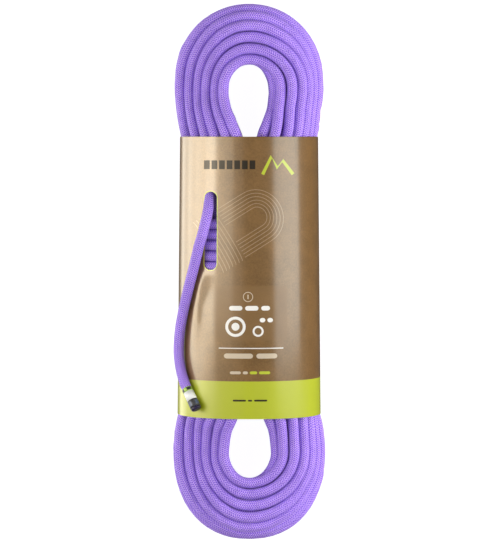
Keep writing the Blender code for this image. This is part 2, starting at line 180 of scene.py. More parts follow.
RIGHT_UPPER_WIDEST = ((28.8, 0.0), (39.1, 0.0), (47.9, 3.8), (53.4, 11.5), (57.8, 19.9), (62.2, 28.3))
RIGHT_UPPER_NECK = ((26.9, -3.9), (36.9, -1.3), (45.9, 4.0), (51.7, 10.6), (56.1, 18.6), (60.4, 29.0))
RIGHT_LOWER = ((31.2, 0.0), (41.4, 0.0), (50.2, 3.8), (56.4, 11.1), (61.0, 19.5), (65.3, 28.0))
RIGHT_LOWER_NECK = ((30.0, -3.9), (40.4, -1.3), (49.3, 4.0), (55.1, 10.6), (59.1, 18.6), (62.9, 29.0))
UPPER_APEX = ((19.1, 1.0), (29.0, 0.0), (39.5, 1.0), (49.9, 0.0), (58.5, 4.5), (65.0, 12.5))
LOWER_APEX = ((25.6, 0.0), (35.9, 0.5), (46.5, 1.5), (57.3, 0.0), (66.5, 4.0), (72.4, 12.0))
LEFT_SLEEVE_TOP = (11.2, 20.8, 30.8, 39.3, 48.3, 56.4)
RIGHT_SLEEVE_TOP = (22.7, 33.9, 42.8, 48.0, 52.6, 56.9)
LEFT_SLEEVE_BOTTOM = (15.3, 24.6, 34.3, 43.4, 51.6, 59.3)
RIGHT_SLEEVE_BOTTOM = (28.0, 39.2, 48.4, 53.5, 57.4, 60.2)
WAIST = (4.8, 14.1, 23.2, 31.3, 38.2, 43.3)
# How far below a bight's centre its inmost strand turns, less for each strand outwards
UPPER_EYE_SHIFT_MM = 7.9
LOWER_EYE_SHIFT_MM = 3.5
UPPER_ROUNDNESS = 2.05
LOWER_ROUNDNESS = 2.25
UPPER_WIDEST_Y = 0.1640
UPPER_NECK_Y = 0.150
WAIST_TOP_Y = 0.097
WAIST_BOTTOM_Y = -0.085
LOWER_NECK_Y = -0.142


def mix(first, second, share):
    return first + (second - first) * share


def smooth_step(value, low, high):
    share = np.clip((value - low) / (high - low), 0.0, 1.0)
    return share * share * (3 - 2 * share)


# ---- Winding


def hull_height(across, half_width, half_front):
    """Height above the hank's axis of an oval whose half sizes are given, at a place across."""
    share = np.clip(1 - (np.abs(across) / half_width) ** ROUNDNESS, 0.0, 1.0)
    return half_front * share ** (1 / ROUNDNESS)


def oval_point(half_width, half_front, angle):
    """The place across and the height above the axis of such an oval, at an angle round it."""
    cosine, sine = math.cos(angle), math.sin(angle)
    across = half_width * math.copysign(abs(cosine) ** (2 / ROUNDNESS), cosine)
    return across, half_front * math.copysign(abs(sine) ** (2 / ROUNDNESS), sine)


def bight_key(strands):
    """Across places and heights, in mm, of a row that is measured in a bight."""
    return np.array([(across, BIGHT_FRONT_MM - drop) for across, drop in strands])


def sleeve_key(across, half_width, half_front):
    """The same for a row that lies against the inside of an oval sleeve or wrap."""
    across = np.array(across)
    height = AXIS_HEIGHT / MM + hull_height(across, half_width, half_front)
    return np.stack([across, height], axis=1)


def section(front, inner, outer, centre, half_height, low, roundness, lean=0.0):
    """One leg's front row at a place, and the space that the leg fills there, in mm."""
    return front, np.array([inner, outer, centre, half_height, low, roundness, lean])


def sections():
    """Key sections of both legs and of both bights' ends."""
    flat = dict(half_height=45.2, low=12.8)
    bight = dict(centre=42.0, roundness=2.2, **flat)
    neck = dict(centre=26.0, half_height=50.0, low=10.6, roundness=2.2)
    oval = dict(centre=0.0, half_height=56.3, low=8.0, roundness=ROUNDNESS)
    narrow = dict(centre=0.0, half_height=45.4, low=17.3, roundness=ROUNDNESS)
    waist = section(sleeve_key(WAIST, 47.7, 45.4), 4.8, 47.7, **narrow)

    def seen(strands, inner, outer, lean=0.0, **space):
        return section(bight_key(strands), inner, outer, lean=lean, **space)

    def covered(across, half_width, inner, outer):
        return section(sleeve_key(across, half_width, 56.3), inner, outer, **oval)

    return {
        "left": [
            (UPPER_BIGHT_Y, seen(LEFT_UPPER, 22.6, 63.9, 1.0, **bight)),
            (UPPER_WIDEST_Y, seen(LEFT_UPPER_WIDEST, 23.4, 63.9, 1.0, **bight)),
            (UPPER_NECK_Y, seen(LEFT_UPPER_NECK, 21.3, 62.6, **neck)),
            (SLEEVE_TOP, covered(LEFT_SLEEVE_TOP, 58.3, 10.9, 58.0)),
            (WAIST_TOP_Y, waist),
            (WAIST_BOTTOM_Y, waist),
            (SLEEVE_BOTTOM, covered(LEFT_SLEEVE_BOTTOM, 60.9, 15.3, 60.6)),
            (LOWER_NECK_Y, seen(LEFT_LOWER_NECK, 20.0, 63.2, 3.0, **neck)),
            (LOWER_BIGHT_Y, seen(LEFT_LOWER, 23.0, 65.5, 5.0, **bight)),
        ],
        "right": [
            (UPPER_BIGHT_Y, seen(RIGHT_UPPER, 22.2, 63.9, **bight)),
            (UPPER_WIDEST_Y, seen(RIGHT_UPPER_WIDEST, 23.1, 63.9, **bight)),
            (UPPER_NECK_Y, seen(RIGHT_UPPER_NECK, 21.3, 61.4, **neck)),
            (SLEEVE_TOP, covered(RIGHT_SLEEVE_TOP, 58.3, 12.1, 58.0)),
            (WAIST_TOP_Y, waist),
            (WAIST_BOTTOM_Y, waist),
            (SLEEVE_BOTTOM, covered(RIGHT_SLEEVE_BOTTOM, 60.9, 17.8, 60.6)),
            (LOWER_NECK_Y, seen(RIGHT_LOWER_NECK, 21.9, 63.6, 2.0, **neck)),
            (LOWER_BIGHT_Y, seen(RIGHT_LOWER, 24.5, 65.9, 3.0, **bight)),
        ],
        "upper": seen(UPPER_APEX, 19.1, 66.4, 3.2, centre=50.0, roundness=3.0, **flat),
        "lower": seen(LOWER_APEX, 25.6, 77.4, 12.0, centre=55.0, roundness=2.3, **flat),
    }


def leg_section(keys, y):
    """The section of a leg at any y, on a smooth curve through its keys."""
    ys = [key[0] for key in keys]
    place = max(0, min(len(keys) - 2, sum(1 for key_y in ys[1:-1] if y < key_y)))
    made = []
    for part in (0, 1):
        values = [key[1][part] for key in keys]
        slopes = [(values[0] - values[1]) / (ys[0] - ys[1])]
        slopes += [(values[n + 1] - values[n - 1]) / (ys[n + 1] - ys[n - 1]) for n in range(1, len(ys) - 1)]
        slopes.append(np.zeros_like(values[0]))
        run = ys[place + 1] - ys[place]
        t = (y - ys[place]) / run
        first, second = values[place], values[place + 1]
        curve = (2 * t ** 3 - 3 * t ** 2 + 1) * first + (3 * t ** 2 - 2 * t ** 3) * second
        curve = curve + (t ** 3 - 2 * t ** 2 + t) * run * slopes[place]
        made.append(curve + (t ** 3 - t ** 2) * run * slopes[place + 1])
    return tuple(made)


def shifted_oval_radius(side, apex, shift, turn):
    """Distance from a bight's centre to an oval that turns about a point nearer the waist."""
    tall = apex + shift
    wide = side / np.maximum(1 - (shift / tall) ** 2, 0.1) ** 0.5
    square = (math.cos(turn) / wide) ** 2 + (math.sin(turn) / tall) ** 2
    linear_part = 2 * shift * math.sin(turn) / tall ** 2
    rest = (shift / tall) ** 2 - 1
    return (-linear_part + np.sqrt(linear_part ** 2 - 4 * square * rest)) / (2 * square)


def rounded_oval_radius(side, apex, turn, power):
    """Distance from a bight's centre to the outline of the whole bight."""
    return ((math.cos(turn) / side) ** power + (math.sin(turn) / apex) ** power) ** (-1 / power)


def bight_section(side, apex, turn, shift, power):
    """The section of a bight at an angle from its side, each strand following its oval."""
    (side_front, side_space), (apex_front, apex_space) = side, apex
    shifts = shift * (1 - np.arange(STRANDS_IN_ROW) / (STRANDS_IN_ROW + 0.5))
    sine = math.sin(turn)
    across = shifted_oval_radius(side_front[:, 0], apex_front[:, 0], shifts, turn)
    height = mix(side_front[:, 1], apex_front[:, 1], sine ** 2)
    space = mix(side_space, apex_space, sine ** 2)
    space[0] = shifted_oval_radius(side_space[0], apex_space[0], shift, turn)
    space[1] = rounded_oval_radius(side_space[1], apex_space[1], turn, power)
    return np.stack([across, height], axis=1), space


def stations():
    """Places along one turn, from the left leg's waist up and round: frame, front row and space."""
    keys = sections()
    made = []

    def leg(side, ys):
        sign = -1.0 if side == "left" else 1.0
        for y in ys:
            front, space = leg_section(keys[side], y)
            made.append((Vector((0, y, 0)), Vector((sign, 0, 0)), front, space))

    def bight(first, second, apex, centre, up, shift, power):
        sides = {side: leg_section(keys[side], centre) for side in (first, second)}
        for degrees in range(15, 180, 15):
            side = first if degrees <= 90 else second
            turn = math.radians(degrees if degrees <= 90 else 180 - degrees)
            front, space = bight_section(sides[side], apex, turn, shift, power)
            sign = -1.0 if side == "left" else 1.0
            direction = Vector((sign * math.cos(turn), up * math.sin(turn), 0))
            made.append((Vector((0, centre, 0)), direction, front, space))

    waist = [-0.100, -0.075, -0.050, -0.020, 0.020, 0.060, 0.080, 0.100]
    top = [0.112, SLEEVE_TOP, 0.137, UPPER_NECK_Y, UPPER_WIDEST_Y, UPPER_BIGHT_Y]
    bottom = [LOWER_BIGHT_Y, -0.153, LOWER_NECK_Y, SLEEVE_BOTTOM, -0.116]
    leg("left", waist + top)
    bight("left", "right", keys["upper"], UPPER_BIGHT_Y, 1, UPPER_EYE_SHIFT_MM, UPPER_ROUNDNESS)
    leg("right", (waist + top)[::-1] + bottom[::-1])
    bight("right", "left", keys["lower"], LOWER_BIGHT_Y, -1, LOWER_EYE_SHIFT_MM, LOWER_ROUNDNESS)
    leg("left", bottom)
    return made


def winding_order():
    """(strand, row) of each turn, from the first wound, at the back, to the last, in front."""
    order = [(strand, FULL_ROWS) for strand in BACK_ROW]
    for row in range(FULL_ROWS - 1, -1, -1):
        strands = range(STRANDS_IN_ROW) if row % 2 == 0 else range(STRANDS_IN_ROW - 1, -1, -1)
        order += [(strand, row) for strand in strands]
    return order


def pushes(points, others, push, strength):
    """How far each point moves away from the others, by a push that depends on the distance."""
    gap = points[:, :, None] - others[:, None, :]
    far = np.sqrt((gap ** 2).sum(-1)) + 1e-6
    return (gap / far[..., None] * push(far)[..., None] * strength).sum(2)


def settle(places, order):
    """Pack the strands at every station: the front row keeps its places, the others make room."""
    count = len(order)
    fronts = np.array([place[2] for place in places])
    spaces = np.array([place[3] for place in places])
    inner, outer, centre, half_height, low, roundness, lean = spaces.T[:, :, None]
    axis = AXIS_HEIGHT / MM

    # Closest distance at each station, from the area that a hexagonal packing leaves each strand
    filled, hexagonal, slack = 0.93, 0.866, 0.985
    room = (outer - inner - lean / 2 + CLOSEST_MM) * (2 * half_height + CLOSEST_MM) * filled
    closest = np.clip(np.sqrt(room / (count * hexagonal)) * slack, CLOSEST_MM, LOOSEST_MM)[:, :, None]

    spots = np.zeros((len(places), count, 2))
    held = np.array([row == 0 for strand, row in order])
    for number, (strand, row) in enumerate(order):
        spots[:, number] = fronts[:, strand]
        if row:
            share = (row + 0.5 * (strand % 2)) / (FULL_ROWS + 0.5)
            spots[:, number, 1] = mix(fronts[:, strand, 1], low[:, 0], share)
            spots[:, number, 0] = mix(inner, outer, (strand + 0.3) / STRANDS_IN_ROW)[:, 0]
    home = spots.copy()
    held_pair = held[:, None] & held[None, :]
    pushed = ~held[:, None] | held_pair
    self_pair = np.eye(count, dtype=bool)

    # Where two strands of the front row stand apart, a filler keeps the rows behind from showing
    row_front = spots[:, [order.index((strand, 0)) for strand in range(STRANDS_IN_ROW)]]
    gaps = np.linalg.norm(np.diff(row_front, axis=1), axis=-1)
    fillers = (row_front[:, 1:] + row_front[:, :-1]) / 2
    filler_reach = CLOSEST_MM * smooth_step(gaps, 11.0, 14.0)[:, None, :]

    def strand_push(far):
        wanted = np.where(held_pair, CLOSEST_MM, closest)
        return np.where(self_pair, 0.0, np.maximum(0.0, wanted - far)) * pushed

    def filler_push(far):
        return np.maximum(0.0, filler_reach - far)

    for step in range(PACKING_STEPS):
        spots = spots + pushes(spots, spots, strand_push, 0.3)
        spots[:, held] += (home[:, held] - spots[:, held]) * 0.25
        free = spots[:, ~held]
        free = free + pushes(free, fillers, filler_push, 0.5)
        if step < SMOOTHED_STEPS:
            smooth = (np.roll(free, 1, 0) + np.roll(free, -1, 0)) / 2
            free = free + (smooth - free) * 0.1
        height = np.maximum(free[..., 1], low) - axis
        depth = (half_height - height) / (2 * half_height)
        across = np.maximum(free[..., 0], inner + lean * depth)
        beside = np.maximum(across - centre, 0.0) / (outer - centre)
        above = np.abs(height) / half_height
        reach = (beside ** roundness + above ** roundness) ** (1 / roundness)
        shrink = 1 / np.maximum(reach, 1.0)
        across = across + (beside * (outer - centre)) * (shrink - 1)
        spots[:, ~held] = np.stack([across, axis + height * shrink], axis=-1)
    return spots


def turn_points(places, spots):
    """Points in space of every turn at every station."""
    centres = np.array([place[0] for place in places])
    outward = np.array([place[1] for place in places])
    points = centres[:, None] + outward[:, None] * (spots[..., :1] * MM)
    points[..., 2] = spots[..., 1] * MM
    return points


def wrap_points():
    """The wraps round the waist, a helix on an oval that is flat at the back."""
    half_width, half_front, half_back = 0.0586, 0.0561, 0.0509
    bottom, pitch, wraps, steps = -0.0502, 0.0097, 10, 36
    made = []
    for step in range(wraps * steps + 1):
        across, height = oval_point(half_width, half_front, math.pi * (1 + 2 * step / steps))
        made.append((across, bottom + pitch * step / steps, AXIS_HEIGHT + max(height, -half_back)))
    return made


def rope_route():
    """Every point that the rope follows, from its inner end to its free end."""
    places = stations()
    order = winding_order()
    spots = settle(places, order)
    points = turn_points(places, spots)
    ys = np.array([place[0][1] for place in places])
    # Each turn comes over from the last one's place at its first stations, which the sleeve covers
    shared = 8
    share = smooth_step(ys[:shared], -0.100, 0.100)[:, None]
    route = list(INNER_ROUTE)
    for number in range(len(order)):
        turn = points[:, number].copy()
        if number:
            turn[:shared] = mix(points[:shared, number - 1], turn[:shared], share)
        else:
            turn = turn[4:]
        route += [tuple(point) for point in turn]
    return route + CROSSING_ROUTE + wrap_points()[1:] + LEAD_ROUTE[1:] + TAIL_ROUTE


# ---- Meshes


def smooth_line(points, spacing):
    """Points evenly along a smooth curve through the given ones."""
    points = np.array(points, dtype=float)
    before = np.vstack([2 * points[0] - points[1], points, 2 * points[-1] - points[-2]])
    knots = np.concatenate([[0.0], np.cumsum(np.linalg.norm(np.diff(before, axis=0), axis=1) ** 0.5)])
    made = []
    for place in range(len(points) - 1):
        p0, p1, p2, p3 = before[place : place + 4]
        t0, t1, t2, t3 = knots[place : place + 4]
        steps = max(1, int(np.linalg.norm(p2 - p1) / spacing))
        t = np.linspace(t1, t2, steps, endpoint=False)[:, None]

        def between(first, second, start, end):
            return (end - t) / (end - start) * first + (t - start) / (end - start) * second

        a1, a2, a3 = between(p0, p1, t0, t1), between(p1, p2, t1, t2), between(p2, p3, t2, t3)
        made.append(between(between(a1, a2, t0, t2), between(a2, a3, t1, t3), t1, t2))
    return np.vstack(made + [points[-1:]])


def thinned(line, largest_turn, shortest, longest):
    """The points of a dense line where a tube needs a ring."""
    kept = [0]
    run = 0.0
    turned_by = 0.0
    steps = np.diff(line, axis=0)
    lengths = np.linalg.norm(steps, axis=1)
    tangents = steps / lengths[:, None]
    bends = np.arccos(np.clip((tangents[1:] * tangents[:-1]).sum(1), -1, 1))
    for place in range(1, len(line) - 1):
        run += lengths[place - 1]
        turned_by += bends[place - 1]
        if run >= longest or (turned_by >= largest_turn and run >= shortest):
            kept.append(place)
            run = 0.0
            turned_by = 0.0
    return line[kept + [len(line) - 1]]


def tube_mesh(name, centres, radii, sides):
    """A tube along the centres, with a map that runs round it (u) and along it (v, in metres)."""
    centres = np.asarray(centres, dtype=float)
    radii = np.broadcast_to(np.asarray(radii, dtype=float), len(centres))
    steps = np.diff(centres, axis=0)
    lengths = np.linalg.norm(steps, axis=1)
    directions = steps / lengths[:, None]
    tangents = np.vstack([directions[:1], directions[1:] + directions[:-1], directions[-1:]])
    tangents /= np.linalg.norm(tangents, axis=1)[:, None]
    side = np.cross(tangents[0], (0.0, 0.0, 1.0) if abs(tangents[0][2]) < 0.9 else (1.0, 0.0, 0.0))
    sides_way = []
    for tangent in tangents:
        side = side - tangent * side.dot(tangent)
        side = side / np.linalg.norm(side)
        sides_way.append(side)
    sides_way = np.array(sides_way)
    ups = np.cross(tangents, sides_way)
    angles = np.arange(sides) * (2 * math.pi / sides)
    rings = (
        centres[:, None]
        + sides_way[:, None] * (np.cos(angles)[None, :, None] * radii[:, None, None])
        + ups[:, None] * (np.sin(angles)[None, :, None] * radii[:, None, None])
    )
    count = len(centres)
    index = np.arange(count * sides).reshape(count, sides)
    after = np.roll(index, -1, axis=1)
    faces = np.stack([index[:-1], after[:-1], after[1:], index[1:]], axis=-1).reshape(-1, 4)
    caps = [index[0, ::-1].tolist(), index[-1].tolist()]
    mesh = bpy.data.meshes.new(name)
    mesh.from_pydata(rings.reshape(-1, 3).tolist(), [], faces.tolist() + caps)
    mesh.polygons.foreach_set("use_smooth", [True] * len(faces) + [False, False])
    along = np.concatenate([[0.0], np.cumsum(lengths)])
    around = np.arange(sides + 1) / sides
    uv = np.zeros((len(mesh.loops), 2))
    quads = uv[: len(faces) * 4].reshape(count - 1, sides, 4, 2)
    for corner, (ring, turn) in enumerate(((0, 0), (0, 1), (1, 1), (1, 0))):
        quads[:, :, corner, 0] = around[turn : sides + turn][None, :]
        quads[:, :, corner, 1] = along[ring : count - 1 + ring][:, None]
    mesh.uv_layers.new(name="rope_map").data.foreach_set("uv", uv.reshape(-1))
    mesh.validate()
    return mesh


def place_mesh(name, mesh, surface):
    piece = bpy.data.objects.new(name, mesh)
    bpy.context.scene.collection.objects.link(piece)
    if surface:
        mesh.materials.append(surface)
    return piece


# ---- Materials


def set_inputs(node, values):
    for name, value in values.items():
        node.inputs[name].default_value = value


class Surface:
    """A material whose nodes are made and joined by short calls."""

    def __init__(self, name, roughness):
        self.material = bpy.data.materials.new(name)
        self.material.use_nodes = True
        self.tree = self.material.node_tree
        self.shader = self.tree.nodes["Principled BSDF"]
        set_inputs(self.shader, {"Roughness": roughness})

    def node(self, kind, **values):
        node = self.tree.nodes.new(kind)
        for key, value in values.items():
            setattr(node, key, value)
        return node

    def link(self, source, target):
        self.tree.links.new(source, target)

    def math(self, operation, first, second=None, third=None):
        node = self.node("ShaderNodeMath", operation=operation)
        for socket, value in zip(node.inputs, (first, second, third)):
            if value is None:
                continue
            if isinstance(value, (int, float)):
                socket.default_value = value
            else:
                self.link(value, socket)
        return node.outputs[0]

    def noise(self, scale, detail, roughness=0.5):
        node = self.node("ShaderNodeTexNoise")
        set_inputs(node, {"Scale": scale, "Detail": detail, "Roughness": roughness})
        self.link(self.node("ShaderNodeTexCoord").outputs["Object"], node.inputs["Vector"])
        return node.outputs["Fac"]

    def ramp(self, value, stops):
        node = self.node("ShaderNodeValToRGB")
        elements = node.color_ramp.elements
        while len(elements) < len(stops):
            elements.new(1.0)
        for element, (place, colour) in zip(elements, stops):
            element.position = place
            element.color = (*colour, 1.0)
        self.link(value, node.inputs["Fac"])
        return node.outputs["Color"]

    def multiply(self, first, second):
        node = self.node("ShaderNodeMix", data_type="RGBA", blend_type="MULTIPLY")
        node.inputs[0].default_value = 1.0
        self.link(first, node.inputs[6])
        self.link(second, node.inputs[7])
        return node.outputs[2]

    def bump(self, height, distance, strength=1.0):
        node = self.node("ShaderNodeBump")
        set_inputs(node, {"Strength": strength, "Distance": distance})
        self.link(height, node.inputs["Height"])
        return node.outputs["Normal"]


def linear(red, green, blue):
    """A colour as a screen shows it, 0 to 255, turned into light."""
    def one(value):
        value /= 255
        return value / 12.92 if value <= 0.04045 else ((value + 0.055) / 1.055) ** 2.4

    return one(red), one(green), one(blue)


def braid_surface():
    """Purple sheath: columns of slanted yarns, neighbours slanting opposite ways."""
    made = Surface("rope_sheath_braid", 0.62)
    calc = made.math
    set_inputs(made.shader, {"Specular IOR Level": 0.15, "Sheen Weight": 0.15, "Sheen Roughness": 0.4})
    set_inputs(made.shader, {"Sheen Tint": (0.72, 0.62, 1.0, 1.0)})

    # Which column a place lies in, and how far along its slanted yarn
    map_node = made.node("ShaderNodeUVMap", uv_map="rope_map")
    split = made.node("ShaderNodeSeparateXYZ")
    made.link(map_node.outputs["UV"], split.inputs[0])
    around = calc("MULTIPLY", split.outputs[0], BRAID_COLUMNS)
    along = calc("MULTIPLY", split.outputs[1], 1 / BRAID_PITCH)
    column = calc("FLOOR", around)
    within = calc("FRACT", around)
    parity = calc("MODULO", column, 2.0)
    slant = calc("MULTIPLY_ADD", parity, 2.0, -1.0)
    centred = calc("SUBTRACT", within, 0.5)
    lean = calc("MULTIPLY", calc("MULTIPLY", slant, centred), 0.95)
    phase = calc("ADD", along, lean)

    # Rounded height of each yarn, lower at the edges of its column
    part = calc("FRACT", phase)
    yarn = calc("MULTIPLY", calc("ABSOLUTE", calc("SUBTRACT", part, 0.5)), 2.0)
    yarn = calc("SUBTRACT", 1.0, calc("POWER", yarn, 2.4))
    edge = calc("MULTIPLY", calc("ABSOLUTE", centred), 2.0)
    crown = calc("SUBTRACT", 1.0, calc("MULTIPLY", calc("POWER", edge, 3.0), 0.35))
    height = calc("MULTIPLY", yarn, crown)

    # Painted shade between the yarns and a painted highlight on their crowns, each yarn a tone of its own
    number = made.node("ShaderNodeCombineXYZ")
    made.link(column, number.inputs[0])
    made.link(calc("FLOOR", phase), number.inputs[1])
    white = made.node("ShaderNodeTexWhiteNoise", noise_dimensions="3D")
    made.link(number.outputs[0], white.inputs["Vector"])
    # Colour from the yarn's height: painted shade low in the gaps, painted highlight high on the crowns
    painted_shade_highlight_stops = ((0.0, (66, 32, 170)), (0.35, (124, 78, 236)), (0.7, (178, 134, 255)), (1.0, (226, 196, 255)))
    colour = made.ramp(height, [(place, linear(*shade)) for place, shade in painted_shade_highlight_stops])
    shade = made.ramp(white.outputs["Value"], [(0.0, (0.86, 0.85, 0.90)), (1.0, (1.0, 1.0, 1.0))])
    colour = made.multiply(colour, shade)
    slow = made.ramp(made.noise(38.0, 2.0), [(0.3, (0.90, 0.90, 0.93)), (0.7, (1.0, 1.0, 1.0))])
    colour = made.multiply(colour, slow)
    made.link(colour, made.shader.inputs["Base Color"])
    made.link(made.bump(height, 0.00040), made.shader.inputs["Normal"])
    return made.material


def plain_surface(name, colour, roughness):
    made = Surface(name, roughness)
    set_inputs(made.shader, {"Base Color": (*colour, 1.0)})
    return made


def speckled_surface(name, colour, roughness, depth, spread, coat=0.0, scale=900.0):
    """A surface with a fine fibre speckle in its colour and height, and maybe a varnish."""
    made = Surface(name, roughness)
    fine = made.noise(scale, 3.0, roughness=0.7)
    broad = made.noise(60.0, 3.0)
    both = made.math("ADD", made.math("MULTIPLY", fine, 0.6), made.math("MULTIPLY", broad, 0.4))
    dark = tuple(channel * (1 - spread) for channel in colour)
    light = tuple(min(1.0, channel * (1 + spread)) for channel in colour)
    made.link(made.ramp(both, [(0.32, dark), (0.68, light)]), made.shader.inputs["Base Color"])
    made.link(made.bump(fine, depth, 0.6), made.shader.inputs["Normal"])
    set_inputs(made.shader, {"Specular Tint": (1.0, 0.84, 0.60, 1.0)})
    set_inputs(made.shader, {"Coat Weight": coat, "Coat Roughness": 0.2 if coat else 0.1})
    return made.material


# ---- Rope


def build_rope():
    """The whole rope as one tube; also its rings and the direction of its free end."""
    line = smooth_line(rope_route(), LINE_SPACING)
    heading = np.array(TAIL_TIP) - line[-1]
    reach = np.linalg.norm(heading)
    heading = heading / reach
    straight = line[-1] + heading * np.linspace(LINE_SPACING, reach, 20)[:, None]
    rings = thinned(np.vstack([line, straight]), RING_TURN, SHORTEST_RING_GAP, LONGEST_RING_GAP)
    lengths = np.concatenate([[0.0], np.cumsum(np.linalg.norm(np.diff(rings, axis=0), axis=1))])
    in_marker = (lengths < END_LENGTH) | (lengths > lengths[-1] - END_LENGTH)
    mesh = tube_mesh("rope", rings, np.where(in_marker, END_RADIUS, ROPE_RADIUS), ROPE_SIDES)
    return place_mesh("rope_run", mesh, braid_surface()), rings, heading


def marks_mesh(name, start, heading, mark):
    """A ring of printed marks round the marker, each a small bent patch."""
    first, last, count = mark
    side = np.cross(heading, (0.0, 0.0, 1.0))
    side = side / np.linalg.norm(side)
    up = np.cross(side, heading)
    builder = bmesh.new()
    for place in range(count):
        middle = 2 * math.pi * (place + 0.3) / count
        half = 0.62 * math.pi / count
        rows = []
        for along in (first, last):
            row = []
            for step in range(9):
                angle = middle + half * (step / 4 - 1)
                spoke = side * math.cos(angle) + up * math.sin(angle)
                row.append(builder.verts.new(start + heading * along + spoke * MARK_RADIUS))
            rows.append(row)
        near, far = rows
        for step in range(8):
            builder.faces.new((near[step], near[step + 1], far[step + 1], far[step]))
    mesh = bpy.data.meshes.new(name)
    builder.to_mesh(mesh)
    builder.free()
    mesh.polygons.foreach_set("use_smooth", [True] * len(mesh.polygons))
    return mesh


def end_bands(prefix, tip, heading, surfaces):
    """A marker round one end of the rope: printed bands under a clear sleeve, and a melted end."""
    tip = np.array(tip)
    heading = np.array(heading)
    start = tip - heading * MARKER_LENGTH
    pieces = []

    def add(name, mesh, finish):
        pieces.append(place_mesh(f"{prefix}_{name}", mesh, surfaces[finish]))
        return pieces[-1]

    for name, first, last in BANDS:
        line = [start + heading * first, start + heading * last]
        add(name, tube_mesh(f"{prefix}_{name}", line, BAND_RADIUS, 40), name)
    for number, (first, last, count, finish) in enumerate(MARKS, 1):
        add(f"marks_{number}", marks_mesh(f"{prefix}_marks", start, heading, (first, last, count)), finish)
    sleeve_line = [start, tip - heading * 0.0003]
    sleeve_mesh = tube_mesh(f"{prefix}_clear", sleeve_line, CLEAR_SLEEVE_RADIUS, 40)
    sleeve = add("clear_sleeve", sleeve_mesh, "clear_shrink_sleeve")
    seal_line = [tip + heading * step for step, radius in MELTED_END]
    seal_radii = [radius for step, radius in MELTED_END]
    seal = add("melted_end", tube_mesh(f"{prefix}_seal", seal_line, seal_radii, 32), "melted_nylon")
    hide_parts(f"{prefix}_shrink_tube")
    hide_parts(f"{prefix}_label")
    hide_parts(f"{prefix}_seal")
    for piece in pieces:
        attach(piece, "rope")
    return pieces


# ---- Card sleeve


def card_line(half_width):
    """The card's outer line at one height, from its inner flap round the front to its outer one."""
    flap, ramp, lift = 0.010, 0.006, 0.0014
    flat = math.asin((AXIS_HEIGHT / SLEEVE_HALF_FRONT) ** (ROUNDNESS / 2))
    line = [(mix(-flap, flap, step / 8), lift) for step in range(9)]
    line += [(mix(flap, flap + ramp, step / 4), mix(lift, 0.0, step / 4)) for step in range(1, 5)]
    oval = []
    for step in range(241):
        angle = mix(-flat, math.pi + flat, step / 240)
        across, height = oval_point(half_width, SLEEVE_HALF_FRONT, angle)
        oval.append((across, AXIS_HEIGHT + max(height, -AXIS_HEIGHT)))
    line += [(mix(flap + ramp, oval[0][0], part / 6), 0.0) for part in range(1, 6)]
    line += oval
    line += [(mix(oval[-1][0], flap - 0.002, part / 8), 0.0) for part in range(1, 9)]
    return np.array(line)


class Card:
    """Places on the wrapped card, from a distance round it (0 in front, + to the right) and a y."""

    def __init__(self):
        self.top = card_line(SLEEVE_TOP_HALF_WIDTH)
        self.bottom = card_line(SLEEVE_BOTTOM_HALF_WIDTH)
        middle = (self.top + self.bottom) / 2
        steps = np.linalg.norm(np.diff(middle, axis=0), axis=1)
        run = np.concatenate([[0.0], np.cumsum(steps)])
        crown = int(np.argmax(middle[:, 1]))
        self.around = run[crown] - run
        self.middle = middle
        self.first, self.last = self.around[-1], self.around[0]

    def at(self, around, y):
        """The place in space, on the card's outer face."""
        drop = (SLEEVE_TOP - y) / (SLEEVE_TOP - SLEEVE_BOTTOM)
        ends = [
            [np.interp(around, self.around[::-1], line[::-1, axis]) for axis in (0, 1)]
            for line in (self.top, self.bottom)
        ]
        across, height = (mix(top, bottom, drop) for top, bottom in zip(*ends))
        return np.stack([across, y + 0 * drop, height], axis=-1)

    def normal(self, around, y):
        """The card's outward direction, tilted at the crease."""
        step = 0.0009
        along = self.at(around + step, y) - self.at(around - step, y)
        up = self.at(around, y + step) - self.at(around, y - step)
        made = np.cross(along, up)
        made = made / np.linalg.norm(made, axis=-1)[..., None]
        made[..., 0] += CREASE_TILT * self.crease(around, y)
        return made / np.linalg.norm(made, axis=-1)[..., None]

    def crease(self, around, y):
        """How strong the soft crease is that the free end presses into the card, from 0 to 1."""
        place = self.at(around, y)
        crease_y, crease_across = np.array(CREASE).T
        across = place[..., 0] - np.interp(y, crease_y, crease_across)
        depth = np.exp(-((across / CREASE_HALF_WIDTH) ** 2)) * (place[..., 2] > AXIS_HEIGHT)
        return depth * smooth_step(-y, -0.004, 0.008) * smooth_step(y, -0.095, -0.035)

    def from_front(self, across):
        """Distance round the card of a place seen from the front, at that far across."""
        front = self.middle[:, 1] > AXIS_HEIGHT
        return np.interp(across, self.middle[front, 0][::-1], self.around[front][::-1])


def stadium(x, y, width, height, steps=8):
    """Outline of a bar with round ends, by its middle and size, in mm."""
    radius = min(width, height) / 2
    run = abs(width - height) / 2
    points = []
    for end, first in ((1, -90), (-1, 90)):
        for step in range(steps + 1):
            angle = math.radians(first + 180 * step / steps)
            if width >= height:
                points.append((x + end * run + radius * math.cos(angle), y + radius * math.sin(angle)))
            else:
                points.append((x - radius * math.sin(angle), y + end * run + radius * math.cos(angle)))
    return points


def disc(x, y, radius, steps=28):
    turn = 2 * math.pi / steps
    return [(x + radius * math.cos(turn * step), y + radius * math.sin(turn * step)) for step in range(steps)]


def box(x0, y0, x1, y1):
    return [(x0, y0), (x1, y0), (x1, y1), (x0, y1)]


def stroke(points, width):
    """Outline of a line of that width along the points, in mm."""
    points = [Vector(point) for point in points]
    left, right = [], []
    for place, point in enumerate(points):
        before = points[max(place - 1, 0)]
        after = points[min(place + 1, len(points) - 1)]
        way = (after - before).normalized()
        across = Vector((-way.y, way.x)) * (width / 2)
        left.append(tuple(point + across))
        right.append(tuple(point - across))
    return left + right[::-1]


